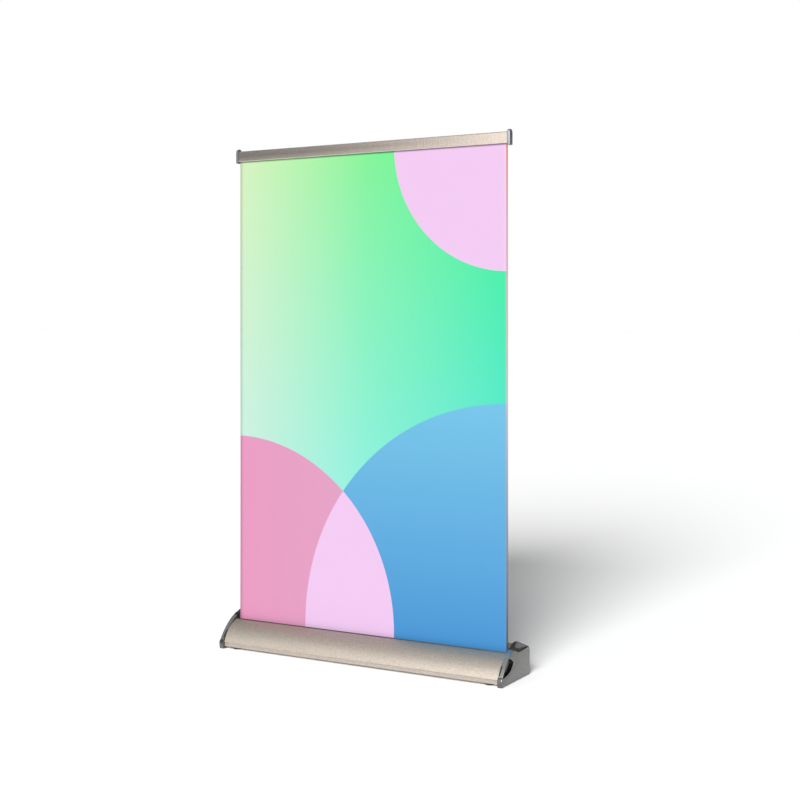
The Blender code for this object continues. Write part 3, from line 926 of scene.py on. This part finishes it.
rail_cap_chrome = chrome_finish(
    "rail_cap_chrome", (0.17, 0.178, 0.195), (0.21, 0.218, 0.235), 0.48, 0.8
)
for side, name in ((-1, "left"), (1, "right")):
    node = f"rail_end_cap_{name}"
    low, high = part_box(node)
    shape = bmesh.new()
    face = trace(
        shape,
        side * RAIL_CAP_INNER,
        [
            (-0.0003, low.z),
            (low.y, low.z),
            (low.y, 0.4950),
            (low.y + 0.0007, 0.4970),
            (low.y + 0.0020, 0.4980),
            (low.y + 0.0032, high.z),
            (-0.0019, 0.4978),
            (-0.0007, 0.4966),
            (-0.0003, 0.4950),
        ],
    )
    outer_face = grow(shape, face, side * RAIL_CAP_LENGTH)
    soften(shape, list(outer_face.edges), RAIL_CAP_ROUND, 4)
    cap = mesh_object(f"{node}_moulded", shape, rail_cap_chrome)
    shape = bmesh.new()
    bmesh.ops.create_cube(shape, size=1)
    bmesh.ops.scale(shape, vec=RAIL_PEG_SIZE, verts=shape.verts)
    bmesh.ops.translate(shape, vec=(side * RAIL_PEG_X, FILM_Y, RAIL_PEG_Z), verts=shape.verts)
    carve(cap, [mesh_object(f"{node}_peg", shape, rail_cap_chrome)], "UNION")
    fit_piece(cap, "rail", "chrome_cap", node)

BRACKET_SCREW_X = 0.0095
BRACKET_SCREW_Z = 0.4910
BRACKET_SCREW = {"head_radius": 0.0019, "head_height": 0.0010, "shank_radius": 0.0009}
BRACKET_SCREW_LENGTH = 0.0041
PLATE_BACK = 0.0014
PLATE_BOTTOM = 0.4866
PLATE_TOP = 0.4954
ARM_HALF_WIDTH = 0.0045
low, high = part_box("rail_bracket")
bracket = rounded_block(
    "pole_hook",
    (low.x, low.y, PLATE_BOTTOM),
    (high.x, PLATE_BACK, PLATE_TOP),
    0.0004,
    black_plastic,
)
arm = rounded_block(
    "hook_arm",
    (-ARM_HALF_WIDTH, 0.0002, low.z),
    (ARM_HALF_WIDTH, POLE_Y, high.z),
    0.0005,
    black_plastic,
)
boss_profile = [
    (0, low.z),
    (0.0047, low.z),
    (0.0052, low.z + 0.0005),
    (0.0052, high.z - 0.0009),
    (0.0049, high.z - 0.0003),
    (0.0043, high.z),
    (0, high.z),
]
boss = mesh_object("hook_boss", turned(boss_profile, "Z", (0, POLE_Y, 0)), black_plastic)
carve(bracket, [arm, boss], "UNION")
hook_seat = turned(rod(tip_radius + 0.0002, 0.480, 0.494), "Z", (0, POLE_Y, 0))
hook_cutters = [mesh_object("hook_seat", hook_seat, black_plastic)]
for side in (-1, 1):
    place = (side * BRACKET_SCREW_X, 0, BRACKET_SCREW_Z)
    screw_hole = turned(rod(0.0012, -0.001, 0.002), "Y", place)
    hook_cutters.append(mesh_object(f"hook_hole_{side}", screw_hole, black_plastic))
carve(bracket, hook_cutters)
fit_piece(bracket, "rail", "black_plastic", "rail_bracket")
for side, name in ((-1, "left"), (1, "right")):
    place = (side * BRACKET_SCREW_X, 0.0027, BRACKET_SCREW_Z)
    node = f"bracket_screw_{name}"
    pan_screw(node, "rail", "Y", place, length=BRACKET_SCREW_LENGTH, sign=-1, **BRACKET_SCREW)

# ---------------------------------------------------------------------------------------------
# Film: one sheet of satin block-out film with a plain blend and three corner discs printed on
# its front. It is clamped in the rail and drawn flat by the roller's spring.
FILM_ACROSS = 66
FILM_UP = 108
PRINT_GAIN = 0.44
PRINT_TOP = 0.49
PRINT_FOOT = 0.03
PRINT_SIDE = 0.15
PINK_RADIUS = 0.180
BLUE_RADIUS = 0.220
LILAC_RADIUS = 0.120
TRIM_TOP = 0.48
film_low, film_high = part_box("graphic_sheet")
film_size = film_high - film_low
film_middle = (film_low + film_high) / 2


def ink(code):
    """A printed colour, from its display code, as linear light, dimmed to suit the lamp."""
    shares = [int(code[i : i + 2], 16) / 255 for i in (0, 2, 4)]
    return tuple(PRINT_GAIN * ((share + 0.055) / 1.055) ** 2.4 for share in shares)


def inks(tree, value, *stops):
    """A printed blend along a 0 to 1 value, from (position, display code) stops."""
    return ramp_of(tree, value, [(position, ink(code)) for position, code in stops])


def inside_circle(tree, coordinates, x, z, radius):
    """1 inside a circle on the sheet and 0 outside, with an edge as sharp as print."""
    span = tree.nodes.new("ShaderNodeVectorMath")
    span.operation = "DISTANCE"
    span.inputs[1].default_value = (x, FILM_Y, z)
    tree.links.new(coordinates, span.inputs[0])
    return scaled(tree, span.outputs["Value"], radius + 0.0002, radius - 0.0002)


def printed_finish():
    """Plain print: a green to aqua blend with a round field of colour in three corners."""
    made, tree, shader, coordinates = new_finish("printed_film", 0.45, 0.0)
    parts = tree.nodes.new("ShaderNodeSeparateXYZ")
    tree.links.new(coordinates, parts.inputs["Vector"])
    across = scaled(tree, parts.outputs["X"], film_low.x, film_high.x)
    height = parts.outputs["Z"]
    down = scaled(tree, height, PRINT_TOP, PRINT_FOOT)
    top = inks(tree, across, (0.0, "d8f4c0"), (0.5, "84f498"), (1.0, "30f488"))
    foot = inks(tree, across, (0.0, "c8f0f4"), (0.5, "90f0f4"), (1.0, "60e0f0"))
    field = mixed(tree, down, top, foot)
    pink = inks(tree, across, (0.0, "ec9cc4"), (1.0, "d8acc8"))
    blue = inks(tree, down, (0.5, "78c8ec"), (1.0, "4898d8"))
    lilac = (*ink("f4ccf4"), 1.0)
    pink_disc = inside_circle(tree, coordinates, -PRINT_SIDE, PRINT_FOOT, PINK_RADIUS)
    blue_disc = inside_circle(tree, coordinates, PRINT_SIDE, PRINT_FOOT, BLUE_RADIUS)
    lilac_disc = inside_circle(tree, coordinates, PRINT_SIDE, PRINT_TOP, LILAC_RADIUS)
    overlap = mixed(tree, pink_disc, blue, lilac)
    paint = mixed(tree, pink_disc, field, pink)
    paint = mixed(tree, blue_disc, paint, overlap)
    paint = mixed(tree, lilac_disc, paint, lilac)
    # A narrow band of its own colours along the right edge, as wide as a print's bleed.
    trim = scaled(tree, parts.outputs["X"], film_high.x - 0.0017, film_high.x - 0.0014)
    trim_ink = inks(
        tree,
        scaled(tree, height, TRIM_TOP, PRINT_FOOT),
        (0.0, "ea9a80"),
        (0.14, "e4b4bc"),
        (0.5, "dfcdcb"),
        (0.75, "a8a0ae"),
        (1.0, "5e5654"),
    )
    paint = mixed(tree, trim, paint, trim_ink)
    tree.links.new(paint, shader.inputs["Base Color"])
    shader.inputs["Specular IOR Level"].default_value = 0.15
    grainy = grain(tree, coordinates, EVEN, 1200.0, 3.0)
    tree.links.new(scaled(tree, grainy, 0.0, 1.0, 0.42, 0.54), shader.inputs["Roughness"])
    relief(tree, shader, grainy, 0.000008)
    return made


printed = printed_finish()
shape = bmesh.new()
bmesh.ops.create_grid(shape, x_segments=FILM_ACROSS, y_segments=FILM_UP, size=0.5)
bmesh.ops.scale(shape, vec=(film_size.x, film_size.z, 1), verts=shape.verts)
bmesh.ops.rotate(shape, matrix=Matrix.Rotation(pi / 2, 3, "X"), verts=shape.verts)
bmesh.ops.translate(shape, vec=film_middle, verts=shape.verts)
FREE_BOTTOM = 0.034
FREE_TOP = RAIL_BOTTOM
WAVE = 0.0004
for corner in shape.verts:
    share = (corner.co.z - FREE_BOTTOM) / (FREE_TOP - FREE_BOTTOM)
    if 0 < share < 1:
        slack = sin(pi * share) ** 0.7
        corner.co.y += WAVE * slack * sin(corner.co.x * 41 + 1.1 + share) * cos(share * 2.2)
film = fit_piece(
    mesh_object("printed_sheet", shape, printed, film_back), "rail", "printed_film", "graphic_sheet"
)
thickness = film.modifiers.new("thickness", "SOLIDIFY")
thickness.thickness = film_size.y
thickness.offset = 0.0
thickness.material_offset = 1
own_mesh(film)

low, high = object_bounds()
